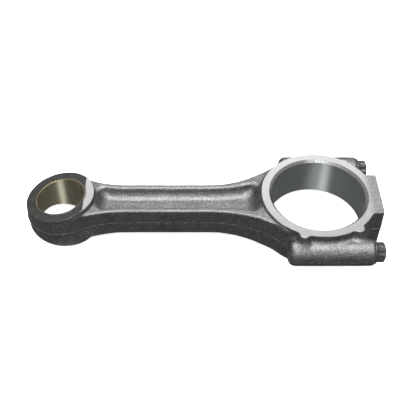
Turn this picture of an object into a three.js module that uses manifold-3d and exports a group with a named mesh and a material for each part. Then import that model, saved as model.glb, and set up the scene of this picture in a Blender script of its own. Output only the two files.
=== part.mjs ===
// Connecting rod of a medium-duty diesel engine, in millimetres.
// A drop-forged steel body whose cap is cracked off it, a bush pressed into the small end,
// and two twelve-point cap bolts. The rod lies on one side face, +X runs from the small end
// to the cap and +Z is up. Every piece is drawn about the centre of the big-end bore, with
// heights counted from the forging's parting plane, half-way between the two side faces.

import * as THREE from "three";
import { mergeVertices } from "three/addons/utils/BufferGeometryUtils.js";
import Module from "manifold-3d";

// Fits
const pieceGap = 0.3; // between two pieces that touch
const boltClearance = 0.3; // around a bolt in its hole, on the radius

// Overall
const centreDistance = 208; // big-end bore to small-end bore
const bigEndWidth = 36; // between the ground side faces

// Big end
const bigBoreRadius = 38;
const bigBoreChamfer = 2;
const ringWall = 8.2;
const padThickness = 11.7; // from the bore to the end of the cap
const padHalfWidth = 21.5;
const padCornerRadius = 1.3;

// Bolt bosses, one on each side of the big-end bore
const boreToBoltAxis = 8.5;
const bossWall = 4.8;
const bossTail = 27.5; // from the split towards the small end
const boltSeatReach = 39.2; // from the split to the seat of a bolt's head
const seatMargin = 1; // of the spot face around the head's flange

// Lugs on the ring's outer wall: angle from +X in degrees, radius, and how far out they stand
const ringLugs = [
  { angle: -110, radius: 3.8, reach: 3.8 },
  { angle: -54, radius: 4, reach: 3.9 },
  { angle: 55, radius: 3, reach: 1.5 },
];

// Small end, a keystone eye that narrows away from the beam
const pinBoreRadius = 19;
const bushWall = 2;
const eyeWall = 6;
const keystoneAngle = 9.2; // of each side face, in degrees
const keystoneReach = 19.7; // from the pin's centre to where the faces start to slope

// I-section beam
const beamWidth = 30.8;
const beamHeight = 25.8;
const flangeWidth = 5;
const flangeSpread = 0.4; // of the big flare's rise that widens the flange
const webThickness = 10;
const webFilletRadius = 6;
const bigFlareRadius = 88;
const flareInset = 6.8; // from the bolt's axis to where the beam meets the boss
const beamIntoBoss = 1; // overlap that joins the beam to the boss's tail
const smallFlareRadius = 90;
const bigCrownRadius = 370; // the beam grows taller along these long arcs
const smallCrownRadius = 634;
const pocketRingLand = 3.5;
const pocketRingCorner = 12;
const pocketEyeLand = 2.5;
const pocketEyeCorner = 7.5;
const eyeCornerEase = 1.5; // the flare beside a pocket's eye corner rounds it further
const tightestInset = 0.45; // of a pocket corner's radius, before the corner folds over itself

// Cap bolts, M12 fine
const boltRadius = 6;
const boltWaistRadius = 5.3;
const boltLength = 60; // under the head
const boltThreadLength = 22;
const boltTipChamfer = 1.2;
const boltWaistTaper = 1; // at each end of the waist, along the bolt
const boltShoulder = 4; // full-diameter collar under the head
const headAcrossFlats = 14;
const headHeight = 6.6;
const headChamfer = 1.1; // along the bolt, twice as wide across it
const headDishRadius = 4.2;
const headDishDepth = 1;
const headFlangeRadius = 9.5;
const headFlangeRim = 1.2;
const headFlangeThickness = 2.2;
const tapRunOut = 2; // of the tapped hole past the bolt's tip
const drillPointAngle = 59; // half of the point angle, in degrees

// Facets
const boreSegments = 96;
const eyeSegments = 72;
const boltSegments = 24;
const bossSegments = 36;
const lugSegments = 20;
const padCornerSegments = 6;
const tailSteps = 4;
const floorSteps = 4;
const beamStep = 5;
const cornerSteps = 5;
const cutMargin = 12; // how far a cutter runs past what it cuts

// Sizes that follow from those above
const halfWidth = bigEndWidth / 2;
const ringRadius = bigBoreRadius + ringWall;
const padReach = bigBoreRadius + padThickness;
const boltAxisY = bigBoreRadius + boreToBoltAxis;
const bossRadius = boltRadius + bossWall;
const bushRadius = pinBoreRadius + bushWall;
const eyeBoreRadius = bushRadius + pieceGap;
const eyeRadius = eyeBoreRadius + eyeWall;
const bigFlareRise = boltAxisY - flareInset - beamWidth / 2;
const bigFlareStart = -bossTail - arcRun(bigFlareRise, bigFlareRadius);
const smallFlareRun = eyeTangentRun();
const smallFlareStart = -centreDistance + smallFlareRun;
const smallFlareEnd =
  -centreDistance + (eyeRadius * smallFlareRun) / (eyeRadius + smallFlareRadius);
const boltReach = boltLength - boltSeatReach; // of a bolt past the split into the body

const wasm = await Module();
wasm.setup();

const steel = (color, roughness) =>
  new THREE.MeshStandardMaterial({ color, roughness, metalness: 0.9 });

// How far along an arc of this radius its rise is reached, and the rise at a run.
function arcRun(rise, radius) {
  return Math.sqrt(radius ** 2 - (radius - rise) ** 2);
}

function arcRise(run, radius) {
  return radius - Math.sqrt(radius ** 2 - run ** 2);
}

// How far from the eye's centre the beam's side has to curve so that it meets the round eye
// at a tangent.
function eyeTangentRun() {
  const across = eyeRadius - beamWidth / 2;
  return Math.sqrt(across * (eyeRadius + beamWidth / 2 + 2 * smallFlareRadius));
}

// A closed geometry as a solid that can be joined and cut.
function solid(geometry) {
  const bare = geometry.clone();
  bare.deleteAttribute("normal");
  bare.deleteAttribute("uv");
  const merged = mergeVertices(bare, 1e-4);
  const corners = merged.index.array;
  const triVerts = [];
  for (let i = 0; i < corners.length; i += 3) {
    const [a, b, c] = corners.slice(i, i + 3);
    if (a !== b && b !== c && c !== a) triVerts.push(a, b, c);
  }
  const vertProperties = merged.attributes.position.array;
  const mesh = new wasm.Mesh({
    numProp: 3,
    vertProperties,
    triVerts: new Uint32Array(triVerts),
  });
  return new wasm.Manifold(mesh);
}

// A finished solid as a named mesh.
function piece(name, shape, material) {
  const { vertProperties, triVerts } = shape.getMesh();
  const geometry = new THREE.BufferGeometry();
  geometry.setAttribute("position", new THREE.BufferAttribute(vertProperties, 3));
  geometry.setIndex(new THREE.BufferAttribute(triVerts, 1));
  geometry.computeVertexNormals();
  const mesh = new THREE.Mesh(geometry, material);
  mesh.name = name;
  return mesh;
}

// A disc or drum that stands along Z about (x, y), as tall as the big end.
function drum(radius, x, y, segments, halfHeight = halfWidth) {
  const geometry = new THREE.CylinderGeometry(radius, radius, 2 * halfHeight, segments);
  geometry.rotateX(Math.PI / 2);
  geometry.translate(x, y, 0);
  return solid(geometry);
}

// A turned shape about an axis along X: its profile is a list of [x, radius].
function turned(profile, segments) {
  const points = profile.map(([x, radius]) => new THREE.Vector2(radius, x));
  const geometry = new THREE.LatheGeometry(points, segments);
  geometry.rotateZ(-Math.PI / 2);
  return solid(geometry);
}

// An upright slab of a plan outline.
function slab(points, halfHeight) {
  const geometry = new THREE.ExtrudeGeometry(new THREE.Shape(points), {
    depth: 2 * halfHeight,
    bevelEnabled: false,
  });
  geometry.translate(0, 0, -halfHeight);
  return solid(geometry);
}

// Everything on one side of the split: a block from x = from to x = to.
function blockAlongX(from, to) {
  const side = 4 * ringRadius;
  const geometry = new THREE.BoxGeometry(to - from, side, side);
  geometry.translate((from + to) / 2, 0, 0);
  return solid(geometry);
}

function bigFlareRiseAt(x) {
  return arcRise(Math.max(0, x - bigFlareStart), bigFlareRadius);
}

function beamHalfWidth(x) {
  const smallRise = arcRise(Math.max(0, smallFlareStart - x), smallFlareRadius);
  return beamWidth / 2 + bigFlareRiseAt(x) + smallRise;
}

// The crown levels off where the beam reaches the ring.
function beamHalfHeight(x) {
  const bigRun = Math.min(x, -ringRadius) - bigFlareStart;
  const bigRise = arcRise(Math.max(0, bigRun), bigCrownRadius);
  const smallRise = arcRise(Math.max(0, smallFlareStart - x), smallCrownRadius);
  return beamHeight / 2 + bigRise + smallRise;
}

// Where an outline between x = from and x = to needs a point: along the flares' arcs only,
// because the beam between them is straight.
function stations(from, to) {
  const spread = (start, end) => {
    const steps = Math.ceil((end - start) / beamStep);
    return Array.from({ length: steps + 1 }, (_, i) => start + ((end - start) * i) / steps);
  };
  return [...spread(from, smallFlareStart), ...spread(bigFlareStart, to)];
}

// The closed outline that is half(x) wide on each side at every station.
function symmetricOutline(places, half) {
  const upper = places.map((x) => new THREE.Vector2(x, half(x)));
  const lower = upper.map((p) => new THREE.Vector2(p.x, -p.y)).reverse();
  return [...upper, ...lower];
}

// The beam: its plan outline, crowned in side view by crossing it with its side outline.
function beam() {
  const places = stations(smallFlareEnd, -bossTail + beamIntoBoss);
  const plan = slab(symmetricOutline(places, beamHalfWidth), halfWidth);
  const sideShape = new THREE.Shape(symmetricOutline(places, beamHalfHeight));
  const side = new THREE.ExtrudeGeometry(sideShape, {
    depth: 4 * ringRadius,
    bevelEnabled: false,
  });
  side.translate(0, 0, -2 * ringRadius);
  side.rotateX(Math.PI / 2);
  return plan.intersect(solid(side));
}

// One pocket of the I-section: it follows the flanges, with round corners and a round floor.
function pocket() {
  const from = -centreDistance + eyeRadius + pocketEyeLand;
  const to = -ringRadius - pocketRingLand;
  const cornerArc = (radius) =>
    Array.from({ length: cornerSteps }, (_, i) => {
      return radius * (1 - Math.cos((i / cornerSteps) * (Math.PI / 2)));
    });
  const places = [
    ...cornerArc(pocketEyeCorner).map((run) => from + run),
    ...stations(from + pocketEyeCorner, to - pocketRingCorner),
    ...cornerArc(pocketRingCorner).map((run) => to - run).reverse(),
  ];
  const corner = (distance, radius) => arcRise(Math.max(0, radius - distance), radius);
  const half = (x) =>
    beamHalfWidth(x) -
    flangeWidth -
    flangeSpread * bigFlareRiseAt(x) -
    corner(x - from, pocketEyeCorner) -
    corner(to - x, pocketRingCorner);
  const shape = new THREE.Shape(symmetricOutline(places, half));
  const tightCorner = Math.min(eyeCornerEase * pocketEyeCorner, pocketRingCorner);
  const floorInset = Math.min(webFilletRadius, tightestInset * tightCorner);
  const geometry = new THREE.ExtrudeGeometry(shape, {
    depth: bigEndWidth,
    bevelThickness: webFilletRadius,
    bevelSize: floorInset,
    bevelOffset: -floorInset,
    bevelSegments: floorSteps,
  });
  geometry.translate(0, 0, webThickness / 2 + webFilletRadius);
  return solid(geometry);
}

// The pad across the end of the cap, with its two outer corners rounded.
function capPad() {
  const shape = new THREE.Shape();
  const inner = padReach - padCornerRadius;
  const wide = padHalfWidth - padCornerRadius;
  shape.moveTo(0, -padHalfWidth);
  shape.lineTo(inner, -padHalfWidth);
  shape.absarc(inner, -wide, padCornerRadius, -Math.PI / 2, 0, false);
  shape.lineTo(padReach, wide);
  shape.absarc(inner, wide, padCornerRadius, 0, Math.PI / 2, false);
  shape.lineTo(0, padHalfWidth);
  return slab(shape.extractPoints(padCornerSegments).shape, halfWidth);
}

// A bolt boss along X, rounded at its tail.
function boltBoss(y) {
  const round = bossWall;
  const profile = [[-bossTail, 0]];
  for (let i = 0; i <= tailSteps; i++) {
    const turn = (i / tailSteps) * (Math.PI / 2);
    const x = -bossTail + round * (1 - Math.cos(turn));
    profile.push([x, bossRadius - round + round * Math.sin(turn)]);
  }
  profile.push([boltSeatReach, bossRadius], [boltSeatReach, 0]);
  return turned(profile, bossSegments).translate([0, y, 0]);
}

function ringLug({ angle, radius, reach }) {
  const turn = THREE.MathUtils.degToRad(angle);
  const centre = ringRadius + reach - radius;
  return drum(radius, centre * Math.cos(turn), centre * Math.sin(turn), lugSegments);
}

// What the keystone's sloping faces take off, above and below the eye.
function keystoneCuts() {
  const length = 2 * eyeRadius + cutMargin;
  const height = halfWidth + cutMargin;
  const above = new THREE.BoxGeometry(length, length, height);
  above.translate(-length / 2, 0, height / 2);
  above.rotateY(THREE.MathUtils.degToRad(-keystoneAngle));
  above.translate(-centreDistance + keystoneReach, 0, halfWidth);
  const cut = solid(above);
  return cut.add(cut.mirror([0, 0, 1]));
}

// The big-end bore with a chamfer at each side face.
function bigBore() {
  const past = halfWidth + bigBoreChamfer;
  const wide = bigBoreRadius + 2 * bigBoreChamfer;
  const bore = turned(
    [
      [-past, 0],
      [-past, wide],
      [bigBoreChamfer - halfWidth, bigBoreRadius],
      [halfWidth - bigBoreChamfer, bigBoreRadius],
      [past, wide],
      [past, 0],
    ],
    boreSegments,
  );
  return bore.rotate([0, 90, 0]);
}

// A cap bolt's hole: clearance through the cap, tapped in the body, spot-faced at the seat.
function boltHole(y) {
  const radius = boltRadius + boltClearance;
  const seatRadius = headFlangeRadius + seatMargin;
  const bottom = -boltReach - tapRunOut;
  const point = radius / Math.tan(THREE.MathUtils.degToRad(drillPointAngle));
  const past = boltSeatReach + headFlangeThickness + headHeight + cutMargin;
  const profile = [
    [bottom - point, 0],
    [bottom, radius],
    [boltSeatReach, radius],
    [boltSeatReach, seatRadius],
    [past, seatRadius],
    [past, 0],
  ];
  return turned(profile, boltSegments).translate([0, y, 0]);
}

// The machined forging before its cap is cracked off.
function forging() {
  let blank = drum(ringRadius, 0, 0, boreSegments).add(capPad());
  for (const y of [-boltAxisY, boltAxisY]) blank = blank.add(boltBoss(y));
  for (const lug of ringLugs) blank = blank.add(ringLug(lug));
  const shank = beam();
  const upperPocket = pocket();
  const lowerPocket = upperPocket.mirror([0, 0, 1]);
  blank = blank.add(shank.subtract(upperPocket).subtract(lowerPocket));
  blank = blank.add(drum(eyeRadius, -centreDistance, 0, eyeSegments));
  blank = blank.subtract(bigBore()).subtract(keystoneCuts());
  blank = blank.subtract(
    drum(eyeBoreRadius, -centreDistance, 0, eyeSegments, bigEndWidth),
  );
  for (const y of [-boltAxisY, boltAxisY]) blank = blank.subtract(boltHole(y));
  return blank;
}

// The bush, faced off together with the eye's side faces.
function bush() {
  const outer = drum(bushRadius, -centreDistance, 0, eyeSegments);
  const bore = drum(pinBoreRadius, -centreDistance, 0, eyeSegments, bigEndWidth);
  return outer.subtract(bore).subtract(keystoneCuts());
}

// The twelve points of the head: two hexagons, one turned by half a flat.
function twelvePoints() {
  const flat = headAcrossFlats / 2;
  const tip = flat / Math.cos(Math.PI / 6);
  const valley = flat / Math.cos(Math.PI / 12);
  const points = [];
  for (let i = 0; i < 24; i++) {
    const turn = (i * Math.PI) / 12;
    const radius = i % 2 ? valley : tip;
    points.push(new THREE.Vector2(radius * Math.cos(turn), radius * Math.sin(turn)));
  }
  return points;
}

// A cap bolt about the X axis, head towards +X, with the head's seat at x = 0.
function capBolt() {
  const headEnd = headFlangeThickness + headHeight;
  const tip = headAcrossFlats / 2 / Math.cos(Math.PI / 6);
  const shank = turned(
    [
      [-boltLength, 0],
      [-boltLength, boltRadius - boltTipChamfer],
      [-boltLength + boltTipChamfer, boltRadius],
      [-boltLength + boltThreadLength, boltRadius],
      [-boltLength + boltThreadLength + boltWaistTaper, boltWaistRadius],
      [-boltShoulder - boltWaistTaper, boltWaistRadius],
      [-boltShoulder, boltRadius],
      [0, boltRadius],
      [0, headFlangeRadius],
      [headFlangeRim, headFlangeRadius],
      [headFlangeThickness, tip],
      [headFlangeThickness, 0],
    ],
    boltSegments,
  );
  const points = new THREE.ExtrudeGeometry(new THREE.Shape(twelvePoints()), {
    depth: headEnd - headFlangeRim,
    bevelEnabled: false,
  });
  points.translate(0, 0, headFlangeRim);
  points.rotateY(Math.PI / 2);
  const crown = turned(
    [
      [0, 0],
      [0, headFlangeRadius],
      [headFlangeThickness, headFlangeRadius],
      [headEnd - headChamfer, tip],
      [headEnd, tip - 2 * headChamfer],
      [headEnd, headDishRadius],
      [headEnd - headDishDepth, headDishRadius - headDishDepth],
      [headEnd - headDishDepth, 0],
    ],
    boltSegments,
  );
  return shank.add(solid(points).intersect(crown));
}

const forgedSteel = steel(0x4a4d4c, 0.55);
const capSteel = steel(0x565958, 0.5);
const bronze = steel(0x9c8450, 0.35);
const blackSteel = steel(0x1d1e20, 0.4);

const machined = forging();
const far = centreDistance + 2 * ringRadius;
const pieces = new THREE.Group();
pieces.add(
  piece("rod_body", machined.intersect(blockAlongX(-far, -pieceGap / 2)), forgedSteel),
  piece("bearing_cap", machined.intersect(blockAlongX(pieceGap / 2, far)), capSteel),
  piece("pin_bush", bush(), bronze),
);

const bolt = capBolt();
for (const [name, y] of [
  ["cap_bolt_near", -boltAxisY],
  ["cap_bolt_far", boltAxisY],
]) {
  const mesh = piece(name, bolt, blackSteel);
  mesh.position.set(boltSeatReach + pieceGap, y, 0);
  pieces.add(mesh);
}

// The part's own frame stands at the middle of the face that the rod lies on.
const extent = new THREE.Box3().setFromObject(pieces);
pieces.position.set(-(extent.min.x + extent.max.x) / 2, 0, -extent.min.z);

const connectingRod = new THREE.Group();
connectingRod.add(pieces);
export default connectingRod;
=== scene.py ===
import math

import bpy
import numpy as np
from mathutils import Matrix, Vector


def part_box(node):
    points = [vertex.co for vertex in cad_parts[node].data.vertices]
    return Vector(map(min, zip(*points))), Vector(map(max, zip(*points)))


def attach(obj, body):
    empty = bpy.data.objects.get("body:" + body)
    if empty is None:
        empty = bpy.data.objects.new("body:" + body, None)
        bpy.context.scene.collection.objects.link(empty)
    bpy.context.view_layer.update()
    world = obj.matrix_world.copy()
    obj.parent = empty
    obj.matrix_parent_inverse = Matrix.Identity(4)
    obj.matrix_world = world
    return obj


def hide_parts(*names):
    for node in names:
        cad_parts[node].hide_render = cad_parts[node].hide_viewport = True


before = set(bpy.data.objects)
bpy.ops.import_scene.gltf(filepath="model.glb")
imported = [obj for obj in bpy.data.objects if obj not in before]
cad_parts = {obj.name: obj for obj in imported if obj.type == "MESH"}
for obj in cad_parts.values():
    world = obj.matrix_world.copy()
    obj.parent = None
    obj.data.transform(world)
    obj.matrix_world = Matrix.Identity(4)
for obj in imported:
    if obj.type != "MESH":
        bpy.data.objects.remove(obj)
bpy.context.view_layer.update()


# ---- The view ----
# A camera above the near side of the rod, looking down on it at about 47 degrees, a pale sweep
# under it, soft lights above, behind and in front, and narrow lamps below.
CAMERA_PLACE = (-0.00872, -0.40794, 0.45334)
CAMERA_TURN = (43.430, -0.689, -0.672)  # degrees
LENS = 63.78

camera = bpy.data.objects.new("camera", bpy.data.cameras.new("camera"))
camera.location = CAMERA_PLACE
camera.rotation_euler = [math.radians(angle) for angle in CAMERA_TURN]
camera.data.lens = LENS
camera.data.sensor_width = 36
camera.data.clip_start = 0.01
bpy.context.collection.objects.link(camera)
bpy.context.scene.camera = camera
bpy.context.scene.view_settings.view_transform = "Standard"


def soft_light(name, place, target, size, power):
    """A rectangular soft box at place that faces target, in metres and watts."""
    data = bpy.data.lights.new(name, "AREA")
    data.shape = "RECTANGLE"
    data.size, data.size_y = size
    data.energy = power
    light = bpy.data.objects.new(name, data)
    light.location = place
    away = np.array(place) - np.array(target)
    across = math.atan2(away[0], -away[1])
    tilt = math.atan2(math.hypot(away[0], away[1]), away[2])
    light.rotation_euler = (tilt, 0, across)
    bpy.context.collection.objects.link(light)
    return light


soft_light("back_box", (0.065, 0.77, 0.56), (0.065, 0, 0), (0.8, 0.47), 1.5)
soft_light("top_box", (0.0, -0.02, 0.95), (0, -0.02, 0), (1.0, 0.64), 9.3)
soft_light("near_box", (0.0, -0.85, 0.75), (0, 0, 0), (1.1, 0.5), 0.9)
soft_light("rim_lamp", (0.05, -0.56, 0.5), (0.093, 0.04, 0.036), (0.2, 0.06), 0.45)
ceiling = soft_light("ceiling", (0, 0, 1.5), (0, 0, 0), (3, 3), 60)
ceiling.visible_glossy = False  # it brightens the sweep and leaves the steel's contrast alone
# Narrow lamps under the sweep, which only the steel sees: they draw the upright streaks of light
# down the far walls of both bores.
LAMP_SPREAD = math.radians(30)
for name, place, target, size, power in (
    ("bore_streak", (0.0835, -0.0215, -0.046), (0.1036, 0.0366, 0.018), (0.016, 0.05), 0.00028),
    ("bore_glow", (0.1017, -0.0248, -0.052), (0.0951, 0.0379, 0.018), (0.055, 0.05), 0.00025),
    ("eye_streak", (-0.1148, -0.044, -0.05), (-0.118, 0.0188, 0.018), (0.052, 0.04), 0.00115),
):
    soft_light(name, place, target, size, power).data.spread = LAMP_SPREAD


class Signal:
    """One socket of a shader, which can be used in plain maths with numbers and other signals."""

    def __init__(self, socket):
        self.socket = socket
        self.tree = socket.id_data

    @staticmethod
    def node(tree, kind, settings=None, inputs=None, output=0):
        """Adds a node: its settings first, then the values or signals of its inputs."""
        added = tree.nodes.new(kind)
        for name, value in (settings or {}).items():
            if name == "stops":
                ramp = added.color_ramp.elements
                while len(ramp) < len(value):
                    ramp.new(0.5)
                for stop, (position, colour) in zip(ramp, value):
                    stop.position, stop.color = position, colour
            else:
                setattr(added, name, value)
        for name, value in (inputs or {}).items():
            socket = next(
                s for s in added.inputs if s.enabled and name in (s.identifier, s.name)
            )
            if isinstance(value, Signal):
                tree.links.new(value.socket, socket)
            else:
                socket.default_value = value
        found = added.outputs if isinstance(output, int) else {
            name: s for s in added.outputs for name in (s.identifier, s.name)
        }
        return Signal(found[output])

    def maths(self, operation, *values, clamp=False):
        names = ("Value", "Value_001", "Value_002")
        settings = {"operation": operation, "use_clamp": clamp}
        return Signal.node(self.tree, "ShaderNodeMath", settings, dict(zip(names, values)))

    def __add__(self, other):
        return self.maths("ADD", self, other)

    def __mul__(self, other):
        return self.maths("MULTIPLY", self, other)

    def __sub__(self, other):
        return self.maths("SUBTRACT", self, other)

    def __rsub__(self, other):
        return self.maths("SUBTRACT", other, self)

    __radd__ = __add__
    __rmul__ = __mul__

    def __abs__(self):
        return self.maths("ABSOLUTE", self)

    def root(self):
        return self.maths("SQRT", self)

    def axis(self, name):
        """One coordinate of a place or a direction: X, Y or Z."""
        return Signal.node(
            self.tree, "ShaderNodeSeparateXYZ", inputs={"Vector": self}, output=name
        )

    def above(self, level, blend):
        """0 below the level and 1 above it, over a band this wide."""
        return self.maths("MULTIPLY_ADD", self, 1 / blend, 0.5 - level / blend, clamp=True)


world = bpy.data.worlds.new("studio")
world.use_nodes = True
sky = world.node_tree
direction = Signal.node(sky, "ShaderNodeTexCoord", output="Generated")
height = direction.axis("Z")
SKY_STOPS = (  # from straight down to straight up: a dark room, a little lighter above
    (0.0, (0.08, 0.085, 0.08, 1)),
    (0.15, (0.16, 0.165, 0.16, 1)),
    (0.42, (0.20, 0.20, 0.20, 1)),
    (0.55, (0.22, 0.22, 0.22, 1)),
    (1.0, (0.22, 0.22, 0.22, 1)),
)
shade = Signal.node(
    sky, "ShaderNodeValToRGB", {"stops": SKY_STOPS}, {"Fac": height * 0.5 + 0.5}
)
sky.links.new(shade.socket, sky.nodes["Background"].inputs["Color"])
bpy.context.scene.world = world

SWEEP_SEGMENTS = 64
# Radius and height, from the edge of the flat floor to the top of the rim round it.
SWEEP_PROFILE = ((3.0, 0.0), (3.5, 0.12), (3.85, 0.5), (4.0, 1.0), (4.0, 3.0))
sweep_points, sweep_faces = [], [tuple(range(SWEEP_SEGMENTS))]
for row, (radius, rise) in enumerate(SWEEP_PROFILE):
    for step in range(SWEEP_SEGMENTS):
        turn = 2 * math.pi * step / SWEEP_SEGMENTS
        sweep_points.append((radius * math.cos(turn), radius * math.sin(turn), rise))
        if row:
            here, after = row * SWEEP_SEGMENTS + step, row * SWEEP_SEGMENTS
            after += (step + 1) % SWEEP_SEGMENTS
            sweep_faces.append((here, after, after - SWEEP_SEGMENTS, here - SWEEP_SEGMENTS))
floor_mesh = bpy.data.meshes.new("floor")
floor_mesh.from_pydata(sweep_points, [], sweep_faces)
floor = bpy.data.objects.new("floor", floor_mesh)
floor.visible_glossy = False  # the steel reflects the dark room and not the sweep
floor.visible_shadow = False  # the lamps under it shine through to the steel
bpy.context.collection.objects.link(floor)
floor_paint = bpy.data.materials.new("floor_paint")
floor_paint.use_nodes = True
floor_shader = floor_paint.node_tree.nodes["Principled BSDF"]
floor_shader.inputs["Base Color"].default_value = (0.9, 0.9, 0.9, 1)
floor_shader.inputs["Roughness"].default_value = 0.9
floor_shader.inputs["Specular IOR Level"].default_value = 0.1
floor_shader.inputs["Emission Color"].default_value = (1, 1, 1, 1)
floor_shader.inputs["Emission Strength"].default_value = 0.55  # a lit table: faint shadows
floor_mesh.materials.append(floor_paint)


# ---- The forging: rod body and bearing cap ----
# Rod body and cap are one drop forging of carbon steel, shot-blasted to a dark even grain.
# Its side faces are ground, both ends bored, the bolt holes drilled, and the cap is then
# cracked off along the bore's centre line. All sizes of its shape are in millimetres from
# the big-end centre.
HALF_WIDTH = 18.0
BIG_BORE = 38.0
BIG_BORE_CHAMFER = 2.0
RING = 46.2
PAD_REACH = 49.7
PAD_HALF = 21.5
PAD_CORNER = 1.3
BOLT_AXIS = 46.5
BOSS = 10.8
BOSS_TAIL = 27.5
BOSS_TAIL_ROUND = 5.5
SEAT_REACH = 39.2
SEAT_RADIUS = 10.5
BOSS_HEAD_ROUND = 4.0
RING_LUGS = ((-110, 3.8, 3.8), (-54, 4.0, 3.9), (55, 3.0, 1.5))  # angle, radius, reach
LUG_DRAFT = math.tan(math.radians(12))
CENTRES = 208.0
EYE = 27.3
EYE_BORE = 21.0
KEYSTONE_ANGLE = 9.2
KEYSTONE_SLOPE = math.tan(math.radians(KEYSTONE_ANGLE))
KEYSTONE_REACH = 19.7
BEAM_HALF = 15.4
BEAM_HEIGHT = 12.9
FLANGE = 5.0
FLANGE_SPREAD = 0.4  # of the big flare's rise that widens the flange
WEB_HALF = 5.0
WEB_ROUND = 6.0
FLANGE_OUTER_ROUND = 1.6
FLANGE_INNER_ROUND = 1.9
BEAM_END_ROUND = 4.0
BIG_FLARE = 88.0
SMALL_FLARE = 90.0
BIG_CROWN = 370.0
SMALL_CROWN = 634.0
FLARE_INSET = 6.8
POCKET_RING_LAND = 1.6
POCKET_RING_CORNER = 9.0
POCKET_EYE_LAND = 1.2
POCKET_EYE_CORNER = 7.5
POCKET_DRAFT = math.tan(math.radians(8))
POCKET_END_DRAFT = math.tan(math.radians(30))
WALL_DRAFT = math.tan(math.radians(2.5))
BEAM_DRAFT = math.tan(math.radians(1))
FLASH = 0.34  # the trimmed flash along the parting line
FLASH_HALF = 0.5
EDGE_BREAK = 0.3  # along the ground faces
SPLIT_GAP = 0.02
EYE_FILLET = 1.8  # where each part of the forging runs into the others
RING_FILLET = 3.0
PAD_FILLET = 2.0
LUG_FILLET = 1.5
BOSS_FILLET = 3.5
LUG_FLOOR = 2.0  # of a lug below the parting line
SEAT_STOCK = 1.5  # forged past the seat and faced off
SKIN_WAVES = ((0.07, 3, 13), (0.035, 4, 4.2))  # height, seed and wavelength
CRACK_WAVES = ((0.16, 11, 5), (0.1, 12, 1.7))

big_end = np.array([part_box("bearing_cap")[1][0] * 1000 - PAD_REACH, 0, HALF_WIDTH])

flare_run = math.sqrt(
    BIG_FLARE**2 - (BIG_FLARE - (BOLT_AXIS - FLARE_INSET - BEAM_HALF)) ** 2
)
flare_start = -BOSS_TAIL - flare_run
eye_run = math.sqrt((EYE - BEAM_HALF) * (EYE + BEAM_HALF + 2 * SMALL_FLARE))
eye_flare_start = -CENTRES + eye_run
eye_flare_end = -CENTRES + EYE * eye_run / (EYE + SMALL_FLARE)


def arc_rise(run, radius):
    """How far an arc has risen after this run, and its slope there."""
    run = np.clip(run, 0, 0.95 * radius)
    drop = np.sqrt(radius**2 - run**2)
    return radius - drop, run / drop


def joined(a, b, radius):
    """Two solids as one, with a fillet of this radius where they meet."""
    corner = np.hypot(np.maximum(radius - a, 0), np.maximum(radius - b, 0))
    return np.maximum(radius, np.minimum(a, b)) - corner


def common(a, b, radius):
    """What two solids share, with their edge rounded to this radius."""
    corner = np.hypot(np.maximum(radius + a, 0), np.maximum(radius + b, 0))
    return np.minimum(-radius, np.maximum(a, b)) + corner


def beam_field(x, across, up):
    """The flared beam with its pockets, cut off square inside the bosses and the eye."""
    big_rise, big_slope = arc_rise(x - flare_start, BIG_FLARE)
    small_rise, small_slope = arc_rise(eye_flare_start - x, SMALL_FLARE)
    width = BEAM_HALF + big_rise + small_rise
    steepness = np.sqrt(1 + (big_slope - small_slope) ** 2)
    crown = arc_rise(np.minimum(x, -RING) - flare_start, BIG_CROWN)[0]
    crown = crown + arc_rise(eye_flare_start - x, SMALL_CROWN)[0]
    height = BEAM_HEIGHT + crown
    side = (across - width - BEAM_DRAFT * (height - up)) / steepness
    beam = common(side, up - height, FLANGE_OUTER_ROUND)
    beam = common(beam, x + BOSS_TAIL, BEAM_END_ROUND)
    beam = np.maximum(beam, eye_flare_end - x)
    flange = FLANGE + FLANGE_SPREAD * big_rise
    inner = (across - width + flange + POCKET_DRAFT * (height - up)) / steepness
    lean = POCKET_END_DRAFT * (height - up)
    ring_end = RING + POCKET_RING_LAND + lean - np.hypot(x, across)
    eye_end = -CENTRES + EYE + POCKET_EYE_LAND + lean - x
    plan = common(inner, ring_end, POCKET_RING_CORNER)
    plan = common(plan, eye_end, POCKET_EYE_CORNER)
    pocket = common(plan, WEB_HALF - up, WEB_ROUND)
    return common(beam, -pocket, FLANGE_INNER_ROUND)


def forging_field(x, y, z):
    """Distance from the forged skin, negative inside the steel."""
    across, up = np.abs(y), np.abs(z)
    lean = WALL_DRAFT * (HALF_WIDTH - up) + FLASH * np.exp(-((z / FLASH_HALF) ** 2))
    faced = HALF_WIDTH - KEYSTONE_SLOPE * np.maximum(KEYSTONE_REACH - CENTRES - x, 0)
    lean = lean - np.maximum(up - faced + EDGE_BREAK, 0)
    ring = np.hypot(x, y) - RING - lean
    eye = np.hypot(x + CENTRES, y) - EYE - lean
    pad = common(x - PAD_REACH, across - PAD_HALF - lean, PAD_CORNER)
    pad = np.maximum(pad, -x)
    boss = np.hypot(across - BOLT_AXIS, z) - BOSS
    boss = common(boss, -BOSS_TAIL - x, BOSS_TAIL_ROUND)
    boss = common(boss, x - SEAT_REACH - SEAT_STOCK, BOSS_HEAD_ROUND)
    steel = joined(beam_field(x, across, up), eye, EYE_FILLET)
    steel = joined(steel, ring, RING_FILLET)
    steel = joined(steel, pad, PAD_FILLET)
    for angle, radius, reach in RING_LUGS:
        turn = math.radians(angle)
        centre = RING + reach - radius
        lug = np.hypot(x - centre * math.cos(turn), y - centre * math.sin(turn))
        spread = LUG_DRAFT * (HALF_WIDTH - z)
        lug = np.maximum(lug - radius - lean - spread, -z - LUG_FLOOR)
        steel = joined(steel, lug, LUG_FILLET)
    return joined(steel, boss, BOSS_FILLET)


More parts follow.
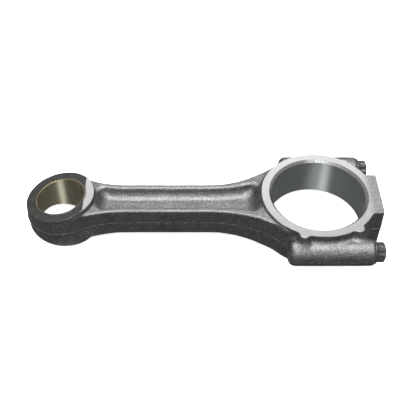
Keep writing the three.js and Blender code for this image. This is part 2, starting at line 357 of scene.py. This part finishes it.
def unevenness(points, seed, wavelength, count=14):
    """Gentle swelling of a hammered surface, from -1 to 1, at about this wavelength."""
    draw = np.random.default_rng(seed)
    waves = draw.normal(size=(count, 3))
    waves *= 2 * math.pi / wavelength / np.linalg.norm(waves, axis=1, keepdims=True)
    phases = draw.uniform(0, 2 * math.pi, count)
    return np.sin(points @ waves.T + phases).sum(axis=1) / math.sqrt(2 * count) / 1.6


def roughness_of(points, waves):
    """Several kinds of unevenness together, each with its height, seed and wavelength."""
    return sum(height * unevenness(points, seed, length) for height, seed, length in waves)


def skin_field(points):
    return forging_field(*points.T) - roughness_of(points, SKIN_WAVES)


def net_surface(field, levels):
    """A quad mesh where the field crosses zero: one point for each grid cell that it crosses."""
    cells = tuple(n - 1 for n in field.shape)
    inside = field < 0
    sums = np.zeros((3, np.prod(cells)))
    hits = np.zeros(np.prod(cells))
    quads = []
    for axis in range(3):
        head = [slice(None)] * 3
        tail = [slice(None)] * 3
        head[axis], tail[axis] = slice(0, -1), slice(1, None)
        a, b = field[tuple(head)], field[tuple(tail)]
        crossing = np.argwhere(inside[tuple(head)] != inside[tuple(tail)])
        others = [k for k in range(3) if k != axis]
        inner = np.all(crossing[:, others] > 0, axis=1)
        inner &= np.all(crossing[:, others] < np.array(field.shape)[others] - 1, axis=1)
        crossing = crossing[inner]
        index = tuple(crossing.T)
        part = a[index] / (a[index] - b[index])
        spot = np.stack([levels[k][crossing[:, k]] for k in range(3)])
        step = levels[axis][crossing[:, axis] + 1] - levels[axis][crossing[:, axis]]
        spot[axis] += part * step
        corners = []
        for back_u, back_v in ((1, 1), (0, 1), (0, 0), (1, 0)):
            cell = crossing.copy()
            cell[:, others[0]] -= back_u
            cell[:, others[1]] -= back_v
            flat = np.ravel_multi_index(tuple(cell.T), cells)
            corners.append(flat)
            for k in range(3):
                sums[k] += np.bincount(flat, spot[k], sums.shape[1])
            hits += np.bincount(flat, minlength=sums.shape[1])
        quad = np.stack(corners, axis=1)
        turned_over = inside[tuple(head)][index] != (axis != 1)
        quad[turned_over] = quad[turned_over][:, ::-1]
        quads.append(quad)
    used = np.flatnonzero(hits)
    place = np.full(len(hits), -1)
    place[used] = np.arange(len(used))
    layer = np.unravel_index(used, cells)[2]
    return (sums[:, used] / hits[used]).T, place[np.concatenate(quads)], layer


def settle(points, held, rounds=4):
    """Moves points onto the skin. Points whose layer is held keep their height."""
    nudge, flattest, longest = 0.02, 0.2, 0.4
    for _ in range(rounds):
        value = skin_field(points)
        slope = np.empty_like(points)
        for k in range(3):
            moved = points.copy()
            moved[:, k] += nudge
            slope[:, k] = (skin_field(moved) - value) / nudge
        slope[held, 2] = 0
        length = np.maximum((slope**2).sum(axis=1), flattest)
        step = slope * (value / length)[:, None]
        points -= np.clip(step, -longest, longest)
    return points


GRID = 0.68
MARGIN = 2.5  # of the grid round the forging
EYE_MARGIN = 3
LOWEST_COARSE_LAYER = 1.2
FLASH_LAYERS = np.array([-0.8, -0.5, -0.25, 0.0, 0.25, 0.5, 0.8])
TOP_LAYERS = (17.3, 17.9, 18.5, 19.1)  # the first two lie about the edge break's crease
CREASE_LAYER = 17.6
CREASE_BAND = 0.3
BLANK_TOP = 18.8  # the blank stands proud of the ground faces


def grid_levels(low, high):
    return np.linspace(low, high, math.ceil((high - low) / GRID) + 1)


coarse_layers = np.linspace(LOWEST_COARSE_LAYER, TOP_LAYERS[0], 25)
middle_layers = np.concatenate([-coarse_layers[::-1], FLASH_LAYERS, coarse_layers])
levels = [
    grid_levels(-CENTRES - EYE - EYE_MARGIN, PAD_REACH + MARGIN),
    grid_levels(-BOLT_AXIS - BOSS - MARGIN, BOLT_AXIS + BOSS + MARGIN),
    np.concatenate([[-v for v in TOP_LAYERS[:0:-1]], middle_layers, TOP_LAYERS[1:]]),
]
grid = np.meshgrid(*levels, indexing="ij", sparse=True)
field = forging_field(*grid)
field = np.maximum(field, np.abs(grid[2]) - BLANK_TOP)
skin_points, skin_quads, layer = net_surface(field, levels)
crease = np.abs(np.abs(skin_points[:, 2]) - CREASE_LAYER) < CREASE_BAND
skin_points[crease, 2] = np.sign(skin_points[crease, 2]) * (HALF_WIDTH - EDGE_BREAK)
moving = np.abs(skin_points[:, 2]) <= TOP_LAYERS[2]
skin_points[moving] = settle(skin_points[moving], crease[moving])


def mesh_piece(name, points, faces, material=None):
    """A mesh object whose points are given in millimetres from the big-end centre."""
    mesh = bpy.data.meshes.new(name)
    placed = (np.asarray(points, float) + big_end) / 1000
    mesh.from_pydata(placed.tolist(), [], [tuple(map(int, f)) for f in faces])
    mesh.validate()
    if material:
        mesh.materials.append(material)
    thing = bpy.data.objects.new(name, mesh)
    bpy.context.collection.objects.link(thing)
    return thing


def cut(thing, tool, operation="DIFFERENCE"):
    """Cuts a piece with a tool. The new faces take the tool's finish, and the tool is removed."""
    change = thing.modifiers.new("cut", "BOOLEAN")
    change.operation = operation
    change.solver = "MANIFOLD"
    change.material_mode = "TRANSFER"
    change.object = tool
    bpy.context.view_layer.update()
    seen = thing.evaluated_get(bpy.context.evaluated_depsgraph_get())
    result = bpy.data.meshes.new_from_object(seen)
    thing.modifiers.clear()
    old = thing.data
    thing.data = result
    bpy.data.meshes.remove(old)
    bpy.data.objects.remove(tool)


def round_angles(segments):
    return np.linspace(0, 2 * math.pi, segments, endpoint=False)


def ring_points(x, radii, angles):
    along = np.full(len(angles), x)
    return np.stack([along, radii * np.cos(angles), radii * np.sin(angles)], axis=1)


def revolved(profile, segments):
    """Points and faces of a solid turned about the X axis from a list of (along, radius)."""
    angles = round_angles(segments)
    return closed_rows([ring_points(x, radius, angles) for x, radius in profile])


def closed_rows(rings):
    """Joins rows of points, each a ring about the X axis, into a solid closed at both ends."""
    size = len(rings[0])
    first, last = ([column.mean() for column in rings[end].T] for end in (0, -1))
    points = np.concatenate([[first], *rings, [last]])
    here = np.arange(size)
    after = (here + 1) % size
    faces = [(0, 1 + b, 1 + a) for a, b in zip(here, after)]
    for row in range(len(rings) - 1):
        base = 1 + row * size
        faces += [
            (base + a, base + b, base + size + b, base + size + a)
            for a, b in zip(here, after)
        ]
    base = 1 + (len(rings) - 1) * size
    end = len(points) - 1
    faces += [(base + a, base + b, end) for a, b in zip(here, after)]
    return points, faces


def block(low, high):
    """Points and faces of a box-shaped tool."""
    (x0, y0, z0), (x1, y1, z1) = low, high
    points = [(x, y, z) for x in (x0, x1) for y in (y0, y1) for z in (z0, z1)]
    faces = [(0, 1, 3, 2), (4, 6, 7, 5), (0, 4, 5, 1), (2, 3, 7, 6), (0, 2, 6, 4), (1, 5, 7, 3)]
    return np.array(points, float), faces


def upright(points):
    """Turns a shape from about the X axis to about the Z axis."""
    x, y, z = np.asarray(points, float).T
    return np.stack([y, z, x], axis=1)


WEDGE_LENGTH, WEDGE_HALF, WEDGE_HEIGHT = 90, 60, 40


def keystone_wedge(side):
    """The tool for one sloping face of the small end: side is 1 above and -1 below."""
    points, faces = block((-WEDGE_LENGTH, -WEDGE_HALF, 0), (0, WEDGE_HALF, WEDGE_HEIGHT))
    turn = math.radians(-KEYSTONE_ANGLE)
    x = points[:, 0] * math.cos(turn) + points[:, 2] * math.sin(turn)
    z = -points[:, 0] * math.sin(turn) + points[:, 2] * math.cos(turn)
    points = np.stack([x - CENTRES + KEYSTONE_REACH, points[:, 1], z + HALF_WIDTH], axis=1)
    if side < 0:
        points[:, 2] *= -1
        faces = [f[::-1] for f in faces]
    return points, faces


finishes = {}


def new_finish(name, roughness, metallic=1.0, stretched=0.0):
    """Starts a metal finish: gives its node tree and the place on the object in metres."""
    material = bpy.data.materials.new(name)
    material.use_nodes = True
    tree = material.node_tree
    shader = tree.nodes["Principled BSDF"]
    shader.inputs["Metallic"].default_value = metallic
    shader.inputs["Roughness"].default_value = roughness
    shader.inputs["Anisotropic"].default_value = stretched  # across the turning marks
    shader.inputs["Anisotropic Rotation"].default_value = 0.25 if stretched else 0.0
    finishes[name] = material
    return tree, Signal.node(tree, "ShaderNodeTexCoord", output="Object")


def wear(tree, place, size, detail=2.0, stretch=(1, 1, 1)):
    """Even noise from 0 to 1 with features of this size in millimetres, stretched per axis."""
    scale = [1000 / size / s for s in stretch]
    sized = Signal.node(
        tree, "ShaderNodeVectorMath", {"operation": "MULTIPLY"},
        {"Vector": place, "Vector_001": scale},
    )
    return Signal.node(
        tree, "ShaderNodeTexNoise", {"normalize": True},
        {"Vector": sized, "Scale": 1.0, "Detail": detail}, "Fac",
    )


def mix(tree, part, first, second):
    """A colour between two others: part 0 gives the first and 1 the second."""
    colours = {"Factor_Float": part}
    for socket, colour in (("A_Color", first), ("B_Color", second)):
        colours[socket] = colour if isinstance(colour, Signal) else (*colour, 1)
    return Signal.node(tree, "ShaderNodeMix", {"data_type": "RGBA"}, colours, "Result_Color")


def turning_marks(tree, place, axis_x, size):
    """Noise in rings about an upright axis at this x in millimetres, from 0 to 1."""
    x, y = place.axis("X") - axis_x / 1000, place.axis("Y")
    radius = (x * x + y * y).root()
    return Signal.node(
        tree, "ShaderNodeTexNoise", {"noise_dimensions": "1D", "normalize": True},
        {"W": radius * (1000 / size), "Scale": 1.0, "Detail": 2.0}, "Fac",
    )


def apply(tree, colour=None, roughness=None, relief=None, depth=0.05):
    """Links what varies to the shader. The relief is a height, as deep as this in millimetres."""
    shader = tree.nodes["Principled BSDF"]
    if colour is not None:
        tree.links.new(colour.socket, shader.inputs["Base Color"])
    if roughness is not None:
        tree.links.new(roughness.socket, shader.inputs["Roughness"])
    if relief is not None:
        raised = Signal.node(
            tree, "ShaderNodeBump", inputs={"Height": relief, "Distance": depth / 1000},
            output="Normal",
        )
        tree.links.new(raised.socket, shader.inputs["Normal"])


tree, place = new_finish("forged_skin", 0.5)
grain = wear(tree, place, 0.9, 3)
mottle = wear(tree, place, 9, 3)
colour = mix(tree, mottle.above(0.5, 0.4), (0.20, 0.207, 0.20), (0.27, 0.275, 0.268))
colour = mix(tree, grain.above(0.59, 0.12), colour, (0.52, 0.52, 0.51))
from_middle = abs(place.axis("Z") - HALF_WIDTH / 1000)
worn_edge = from_middle.above((HALF_WIDTH - 0.45) / 1000, 0.0002)
flash_line = 1 - from_middle.above(0.0004, 0.0003)
patchy = wear(tree, place, 3.5, 2).above(0.52, 0.1)
colour = mix(tree, worn_edge * 0.7 + flash_line * (patchy * 0.6 + 0.3), colour, (0.8, 0.8, 0.79))
apply(tree, colour, 0.28 + grain * 0.22, grain + wear(tree, place, 0.4, 1) * 0.5, 0.3)

PAD_FINISH = 41  # past here, towards the pad, the side face is blotchy
tree, place = new_finish("ground_face", 0.34)
cloud = wear(tree, place, 7, 4)
lines = wear(tree, place, 0.25, 1, (40, 1, 1))
pad_side = place.axis("X").above((big_end[0] + PAD_FINISH) / 1000, 0.005)
blotch = wear(tree, place, 3, 5).above(0.5, 0.45)
blotches = mix(tree, blotch, (0.22, 0.22, 0.22), (0.5, 0.5, 0.5))
colour = mix(tree, cloud, (0.62, 0.605, 0.61), (0.74, 0.725, 0.73))
colour = mix(tree, pad_side * 0.8, colour, blotches)
apply(tree, colour, 0.28 + cloud * 0.08 + pad_side * 0.12, lines + pad_side * blotch * 3, 0.012)

tree, place = new_finish("keystone_face", 0.3)
cloud = wear(tree, place, 5, 3)
marks = turning_marks(tree, place, big_end[0] - CENTRES, 0.4)
# Painted shade: the sloping faces are the same machined steel as the ground faces, painted much
# darker because they tilt away from the light; only the turning marks in the relief are the
# face's own.
colour = mix(tree, cloud, (0.22, 0.225, 0.215), (0.34, 0.34, 0.33))
apply(tree, colour, 0.18 + cloud * 0.1, marks, 0.03)

tree, place = new_finish("bored_wall", 0.4, stretched=0.85)
groove = wear(tree, place, 0.22, 2, (60, 60, 1))
cloud = wear(tree, place, 6, 3)
colour = mix(tree, cloud, (0.40, 0.43, 0.415), (0.50, 0.53, 0.515))
apply(tree, colour, 0.32 + cloud * 0.1, groove, 0.02)

tree, place = new_finish("bore_chamfer", 0.25)
cloud = wear(tree, place, 2.5, 3)
# Painted highlight: the chamfer is the bore's own steel, painted near white so that its glints
# come out brighter than the bored wall's.
colour = mix(tree, cloud, (0.78, 0.79, 0.79), (0.9, 0.9, 0.9))
apply(tree, colour, 0.16 + cloud * 0.1, cloud, 0.004)

tree, place = new_finish("spot_face", 0.35)
cloud = wear(tree, place, 1.5, 3)
colour = mix(tree, cloud, (0.3, 0.3, 0.3), (0.42, 0.42, 0.42))
apply(tree, colour, 0.3 + cloud * 0.15, cloud, 0.02)

tree, place = new_finish("drilled_wall", 0.4)
rings = wear(tree, place, 0.3, 1, (1, 20, 20))
colour = mix(tree, rings, (0.16, 0.16, 0.16), (0.3, 0.3, 0.3))
apply(tree, colour, 0.35 + rings * 0.15, rings, 0.02)

tree, place = new_finish("fracture_face", 0.5)
crystal = wear(tree, place, 0.5, 4)
colour = mix(tree, crystal, (0.25, 0.25, 0.25), (0.6, 0.6, 0.6))
apply(tree, colour, 0.35 + crystal * 0.3, crystal, 0.3)

skin = mesh_piece("forging", skin_points, skin_quads, finishes["forged_skin"])
TOOL_REACH = 400  # of a tool past the forging all round
TOOL_TOP = 30  # of a tool above and below the middle
BORE_SEGMENTS = 256
EYE_SEGMENTS = 192
HOLE_SEGMENTS = 96
SEAT_CUTTER = 20
for side in (1, -1):
    low, high = sorted((side * HALF_WIDTH, side * TOOL_TOP))
    tool = block((-TOOL_REACH, -TOOL_REACH, low), (TOOL_REACH, TOOL_REACH, high))
    cut(skin, mesh_piece("grinding", *tool, finishes["ground_face"]))
    cut(skin, mesh_piece("taper", *keystone_wedge(side), finishes["keystone_face"]))

straight = HALF_WIDTH - BIG_BORE_CHAMFER
past = HALF_WIDTH + BIG_BORE_CHAMFER
wide = BIG_BORE + 2 * BIG_BORE_CHAMFER
profile = [(-past, wide), (-straight, BIG_BORE), (straight, BIG_BORE), (past, wide)]
points, faces = revolved(profile, BORE_SEGMENTS)
boring = mesh_piece("boring", upright(points), faces, finishes["bore_chamfer"])
boring.data.materials.append(finishes["bored_wall"])
for strip in boring.data.polygons:  # the bore's wall is the strip about mid-height
    strip.material_index = int(abs(strip.center[2] - HALF_WIDTH / 1000) < 0.001)
cut(skin, boring)
points, faces = revolved([(-TOOL_TOP, EYE_BORE), (TOOL_TOP, EYE_BORE)], EYE_SEGMENTS)
eye_tool = upright(points) - (CENTRES, 0, 0)
cut(skin, mesh_piece("eye_bore", eye_tool, faces, finishes["drilled_wall"]))

for side in (-1, 1):
    profile = [(SEAT_REACH, SEAT_RADIUS), (SEAT_REACH + SEAT_CUTTER, SEAT_RADIUS)]
    points, faces = revolved(profile, HOLE_SEGMENTS)
    points = points + (0, side * BOLT_AXIS, 0)
    cut(skin, mesh_piece("seat", points, faces, finishes["spot_face"]))


THREAD_PITCH = 1.25
THREAD_DEPTH = 0.7
BOLT = 6.0
BOLT_HOLE = 6.3
TAP_CLEARANCE = 0.08
THREAD_STEP = THREAD_PITCH / 10
HOLE_MOUTH = 0.8
MOUTH_CLEARANCE = 0.15
HOLE_OVERRUN = 1.5  # of a hole's tool past the split
HOLE_REACH = 60  # of the clearance hole's tool, past the seat
TAP_DEPTH = 21.5
DRILL_DEPTH = 22
DRILL_POINT = (-25.2, 0.2)  # along the hole, and its radius there
CRACK_HALF, CRACK_TOP = 62, 20  # the broken face reaches past the steel
CRACK_STEP = 0.5
HALF_REACH = 300


def thread_ring(x, angles, crest):
    """Radii round one ring of a right-hand thread whose crest has this radius."""
    phase = (x / THREAD_PITCH - angles / (2 * math.pi)) % 1
    flank = np.clip((np.abs(2 * phase - 1) - 0.1) / 0.8, 0, 1)
    return crest - THREAD_DEPTH * flank


def tapped_hole():
    """The tool for a tapped hole that starts at the split and runs into the rod body."""
    angles = round_angles(HOLE_SEGMENTS)
    drilled = (DRILL_POINT, (-DRILL_DEPTH, BOLT - THREAD_DEPTH))
    rings = [ring_points(x, radius, angles) for x, radius in drilled]
    for x in np.arange(-TAP_DEPTH, HOLE_OVERRUN, THREAD_STEP):
        radii = thread_ring(x, angles, BOLT + TAP_CLEARANCE)
        radii = np.maximum(radii, BOLT + MOUTH_CLEARANCE + x + HOLE_MOUTH)
        rings.append(ring_points(x, radii, angles))
    return closed_rows(rings)


def clearance_hole():
    """The tool for a bolt's clearance hole through the cap."""
    mouth = (-HOLE_OVERRUN, BOLT_HOLE + HOLE_MOUTH + HOLE_OVERRUN)
    return revolved([mouth, (HOLE_MOUTH, BOLT_HOLE), (HOLE_REACH, BOLT_HOLE)], HOLE_SEGMENTS)


def fracture_block(side):
    """Everything on one side of the split, with the grainy face that both halves share."""
    ys = np.arange(-CRACK_HALF, CRACK_HALF + 0.01, CRACK_STEP)
    zs = np.arange(-CRACK_TOP, CRACK_TOP + 0.01, CRACK_STEP)
    y, z = np.meshgrid(ys, zs, indexing="ij")
    grain = np.stack([y.ravel(), z.ravel(), np.zeros(y.size)], axis=1)
    height = roughness_of(grain, CRACK_WAVES)
    face = np.stack([height + side * SPLIT_GAP, y.ravel(), z.ravel()], axis=1)
    back = face.copy()
    back[:, 0] = side * HALF_REACH
    rows, columns = y.shape
    index = np.arange(rows * columns).reshape(rows, columns)
    quads = np.stack([index[:-1, :-1], index[1:, :-1], index[1:, 1:], index[:-1, 1:]], axis=-1)
    quads = quads.reshape(-1, 4)
    rim = np.concatenate([index[:, 0], index[-1, 1:], index[-2::-1, -1], index[0, -2:0:-1]])
    count = rows * columns
    walls = [
        (rim[i], rim[i - 1], rim[i - 1] + count, rim[i] + count) for i in range(len(rim))
    ]
    faces = [tuple(q[::-1]) for q in quads] + [tuple(q + count) for q in quads]
    faces += [w[::-1] for w in walls]
    if side < 0:
        faces = [f[::-1] for f in faces]
    return np.concatenate([face, back]), faces


def finish_edges(thing, angle):
    """Smooth shading, kept crisp between different finishes and over this angle in degrees."""
    mesh = thing.data
    mesh.shade_smooth()
    mesh.set_sharp_from_angle(angle=math.radians(angle))
    kinds = np.zeros(len(mesh.polygons), int)
    mesh.polygons.foreach_get("material_index", kinds)
    loops = np.zeros(len(mesh.loops), int)
    mesh.loops.foreach_get("edge_index", loops)
    sizes = np.zeros(len(mesh.polygons), int)
    mesh.polygons.foreach_get("loop_total", sizes)
    kind_of_loop = np.repeat(kinds, sizes)
    least = np.full(len(mesh.edges), 99)
    most = np.full(len(mesh.edges), -1)
    np.minimum.at(least, loops, kind_of_loop)
    np.maximum.at(most, loops, kind_of_loop)
    sharp = np.zeros(len(mesh.edges), bool)
    if "sharp_edge" in mesh.attributes:
        mesh.attributes["sharp_edge"].data.foreach_get("value", sharp)
    else:
        mesh.attributes.new("sharp_edge", "BOOLEAN", "EDGE")
    sharp |= least != most
    mesh.attributes["sharp_edge"].data.foreach_set("value", sharp)


for side, name, body, node in (
    (-1, "forged_rod_body", "rod", "rod_body"),
    (1, "forged_bearing_cap", "cap", "bearing_cap"),
):
    half = bpy.data.objects.new(name, skin.data.copy())
    half.data.name = name
    bpy.context.collection.objects.link(half)
    tool = mesh_piece("split", *fracture_block(side), finishes["fracture_face"])
    cut(half, tool, "INTERSECT")
    for across in (-BOLT_AXIS, BOLT_AXIS):
        points, faces = tapped_hole() if side < 0 else clearance_hole()
        points = points + (0, across, 0)
        cut(half, mesh_piece("hole", points, faces, finishes["drilled_wall"]))
    finish_edges(half, 50)
    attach(half, body)
    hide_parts(node)
bpy.data.objects.remove(skin)


# ---- The pin bush ----
# A split-free bush of steel with a bronze lining, pressed into the small end, bored to the
# piston pin's size and faced off together with the sloping sides.
PIN_BORE = 19.0
LINING = 0.8
BUSH_CHAMFER = 0.45

tree, place = new_finish("bush_back", 0.3)
cloud = wear(tree, place, 3, 3)
colour = mix(tree, cloud, (0.24, 0.24, 0.22), (0.34, 0.34, 0.31))
apply(tree, colour, 0.25 + cloud * 0.12, cloud, 0.02)

tree, place = new_finish("bronze_lining", 0.4, stretched=0.85)
groove = wear(tree, place, 0.25, 2, (60, 60, 1))
cloud = wear(tree, place, 6, 3)
# Painted shade: the lining's bore is the same bronze as its faced edge, painted a darker olive
# where the upright wall is in shade.
colour = mix(tree, cloud, (0.36, 0.345, 0.27), (0.46, 0.43, 0.32))
apply(tree, colour, 0.36 + cloud * 0.12, groove, 0.02)

tree, place = new_finish("bronze_edge", 0.25)
cloud = wear(tree, place, 2, 3)
# Painted highlight: the faced edge of the same bronze is painted bright gold where it faces up
# towards the lamps.
colour = mix(tree, cloud, (0.62, 0.5, 0.26), (0.8, 0.68, 0.42))
apply(tree, colour, 0.2 + cloud * 0.12, cloud, 0.02)

LINING_FACE = PIN_BORE + LINING
PRESS_GAP = 0.03
OUTER_CHAMFER = (0.3, 0.35)  # across, and under the side
# Half of the bush's section, from its outer wall to its bore: radius and depth under the side.
BUSH_SECTION = (
    (EYE_BORE - PRESS_GAP, OUTER_CHAMFER[1]),
    (EYE_BORE - PRESS_GAP - OUTER_CHAMFER[0], 0.0),
    (LINING_FACE, 0.0),
    (PIN_BORE + BUSH_CHAMFER, 0.0),
    (PIN_BORE, BUSH_CHAMFER),
)
SIDE_FINISHES = ("bush_back", "bush_back", "bronze_edge", "bronze_edge")
strip_finish = (*SIDE_FINISHES, "bronze_lining", *SIDE_FINISHES[::-1], "bush_back")
angles = round_angles(EYE_SEGMENTS)
rings = []
for side in (1, -1):
    for radius, depth in BUSH_SECTION[::side]:
        x, y = radius * np.cos(angles), radius * np.sin(angles)
        taper = np.maximum(KEYSTONE_REACH - x, 0) * KEYSTONE_SLOPE
        rings.append(np.stack([x - CENTRES, y, side * (HALF_WIDTH - taper - depth)], axis=1))
size = len(angles)
here, after = np.arange(size), (np.arange(size) + 1) % size
faces, kinds = [], []
for row in range(len(rings)):
    base, other = row * size, (row + 1) % len(rings) * size
    faces += [(base + a, base + b, other + b, other + a) for a, b in zip(here, after)]
    kinds += [strip_finish[row]] * size
bush = mesh_piece("pressed_pin_bush", np.concatenate(rings), faces)
names = ["bush_back", "bronze_edge", "bronze_lining"]
for name in names:
    bush.data.materials.append(finishes[name])
bush.data.polygons.foreach_set("material_index", [names.index(k) for k in kinds])
finish_edges(bush, 25)
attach(bush, "rod")
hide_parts("pin_bush")


# ---- The cap bolts ----
# Two black-oxided M12 bolts with a twelve-point head on a conical flange, a full-diameter
# shoulder under it, a waisted shank and a rolled fine thread that screws into the rod body.
BOLT_LENGTH = 60.0
THREAD_LENGTH = 22.0
THREAD_RUN_OUT = 1.5
TIP_CHAMFER = 1.2
WAIST = BOLT - THREAD_DEPTH + 0.02
SHANK = WAIST - 0.05
SHOULDER = 4.0
HEAD_FLAT = 7.0
HEAD_LENGTH = 8.8
HEAD_FLANGE = 9.5
FLANGE_RIM = 1.2
FLANGE_LENGTH = 2.2
HEAD_TIP = HEAD_FLAT / math.cos(math.pi / 6)
HEAD_CHAMFER = 1.2
ROOT_WIDTH, ROOT_HEIGHT = 0.35, 0.5  # of the fillet where the points meet the flange
SEAT_GAP = 0.02

tree, place = new_finish("black_oxide", 0.35, metallic=0.85)
cloud = wear(tree, place, 4, 3)
speck = wear(tree, place, 0.5, 2)
colour = mix(tree, cloud, (0.07, 0.07, 0.072), (0.11, 0.11, 0.113))
colour = mix(tree, speck.above(0.64, 0.1), colour, (0.2, 0.2, 0.2))
apply(tree, colour, 0.26 + cloud * 0.2, speck, 0.03)


def twelve_point(angles):
    """Radii round the head: the outline of two hexagons, one turned by half a flat."""
    def hexagon(turn):
        return HEAD_FLAT / np.cos((angles + turn) % (math.pi / 3) - math.pi / 6)
    return np.maximum(hexagon(0), hexagon(math.pi / 6))


def bolt_shape():
    """The whole bolt about the X axis, with its seat at zero and its head towards +X."""
    angles = round_angles(HOLE_SEGMENTS)
    tip = -BOLT_LENGTH
    rings = [ring_points(tip, r, angles) for r in (2.0, BOLT - 1.3)]
    for x in np.arange(tip + 0.1, tip + THREAD_LENGTH, THREAD_STEP):
        radii = thread_ring(x + SEAT_REACH + SEAT_GAP, angles, BOLT)
        radii = np.minimum(radii, BOLT - TIP_CHAMFER + x - tip)
        left = tip + THREAD_LENGTH - x
        if left < THREAD_RUN_OUT:
            radii = WAIST + (radii - WAIST) * left / THREAD_RUN_OUT
        rings.append(ring_points(x, radii, angles))
    profile = (
        (tip + THREAD_LENGTH, WAIST),
        (tip + THREAD_LENGTH + 1, SHANK),
        (-SHOULDER - 2.0, SHANK),
        (-SHOULDER - 1.2, WAIST + 0.12),
        (-SHOULDER - 0.4, BOLT - 0.15),
        (-SHOULDER, BOLT),
        (-0.6, BOLT),
        (-0.2, BOLT + 0.12),
        (0, BOLT + 0.4),
        (0, HEAD_FLANGE - 0.35),
        (0.3, HEAD_FLANGE - 0.05),
        (0.5, HEAD_FLANGE),
        (FLANGE_RIM - 0.15, HEAD_FLANGE),
        (FLANGE_RIM + 0.05, HEAD_FLANGE - 0.2),
        (FLANGE_LENGTH - 0.1, HEAD_TIP + 0.25),
        (FLANGE_LENGTH, HEAD_TIP + 0.05),
    )
    rings += [ring_points(x, r, angles) for x, r in profile]
    star = twelve_point(angles)
    for x in np.linspace(FLANGE_LENGTH + 0.02, HEAD_LENGTH - 1.3, 4):
        root = ROOT_WIDTH * max(0.0, 1 - (x - FLANGE_LENGTH) / ROOT_HEIGHT)
        rings.append(ring_points(x, np.minimum(star + root, HEAD_TIP), angles))
    for x in np.linspace(HEAD_LENGTH - HEAD_CHAMFER, HEAD_LENGTH - 0.15, 6):
        limit = HEAD_TIP - 1.5 * (x - HEAD_LENGTH + HEAD_CHAMFER)
        rings.append(ring_points(x, np.minimum(star, limit), angles))
    dish = ((0, 6.1), (0, 4.4), (0.25, 4.15), (1.0, 3.7), (1.1, 3.2), (1.1, 1.0))  # depth, radius
    rings += [ring_points(HEAD_LENGTH - depth, r, angles) for depth, r in dish]
    return closed_rows(rings)


points, faces = bolt_shape()
for side, name, body, node in (
    (-1, "twelve_point_bolt_near", "bolt_near", "cap_bolt_near"),
    (1, "twelve_point_bolt_far", "bolt_far", "cap_bolt_far"),
):
    placed = points + (SEAT_REACH + SEAT_GAP, side * BOLT_AXIS, 0)
    bolt = mesh_piece(name, placed, faces, finishes["black_oxide"])
    finish_edges(bolt, 28)
    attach(bolt, body)
    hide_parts(node)
